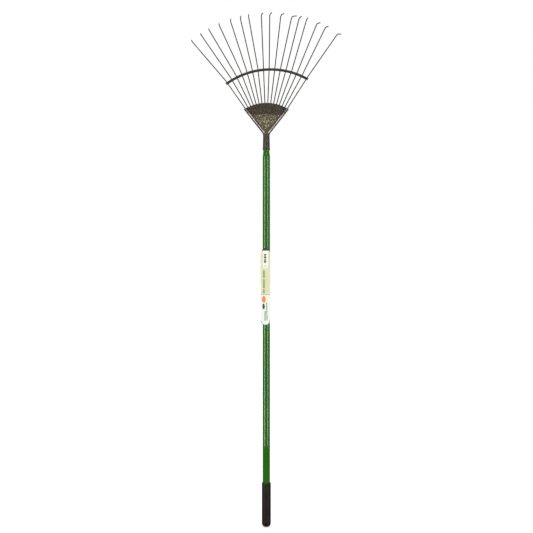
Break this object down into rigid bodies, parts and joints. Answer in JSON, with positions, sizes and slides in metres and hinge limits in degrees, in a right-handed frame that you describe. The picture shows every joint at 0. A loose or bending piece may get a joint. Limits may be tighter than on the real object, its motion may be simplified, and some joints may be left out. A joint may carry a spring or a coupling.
{
  "type": "leaf rake",
  "caption": "Long-handled spring rake with a fan of hooked wire tines, a curved crossbar, a dished head plate and a coated tube handle.",
  "frame": {"origin": "centre of the hang hole through the closed end of the grip, on the handle's axis", "axes": "+Z along the handle from the grip to the head; -Y the working side that the hooked tine tips point to; +X to the right seen from that side"},
  "size_m": [0.4823, 0.0719, 1.6681],
  "materials": {
    "tube_steel": "bare drawn steel",
    "green_coating": "glossy extruded skin",
    "grip_vinyl": "semi-matte soft vinyl",
    "label_paper": "printed coated paper",
    "hammered_paint": "hammertone bronze paint",
    "rivet_paint": "painted over with the head",
    "crossbar_paint": "semi-gloss dark paint",
    "wire_paint": "thin dark bronze lacquer"
  },
  "bodies": {
    "root": {"back_plate": "hammered_paint", "crossbar": "crossbar_paint", "grip": "grip_vinyl", "handle_coating": "green_coating", "handle_tube": "tube_steel", "head_plate": "hammered_paint", "head_rivets": "rivet_paint", "label_sleeve": "label_paper", "socket_rivet": "rivet_paint", "tine_01": "wire_paint", "tine_02": "wire_paint", "tine_03": "wire_paint", "tine_04": "wire_paint", "tine_05": "wire_paint", "tine_06": "wire_paint", "tine_07": "wire_paint", "tine_08": "wire_paint", "tine_09": "wire_paint", "tine_10": "wire_paint", "tine_11": "wire_paint", "tine_12": "wire_paint", "tine_13": "wire_paint", "tine_14": "wire_paint", "tine_15": "wire_paint", "tine_16": "wire_paint"}
  },
  "joints": []
}
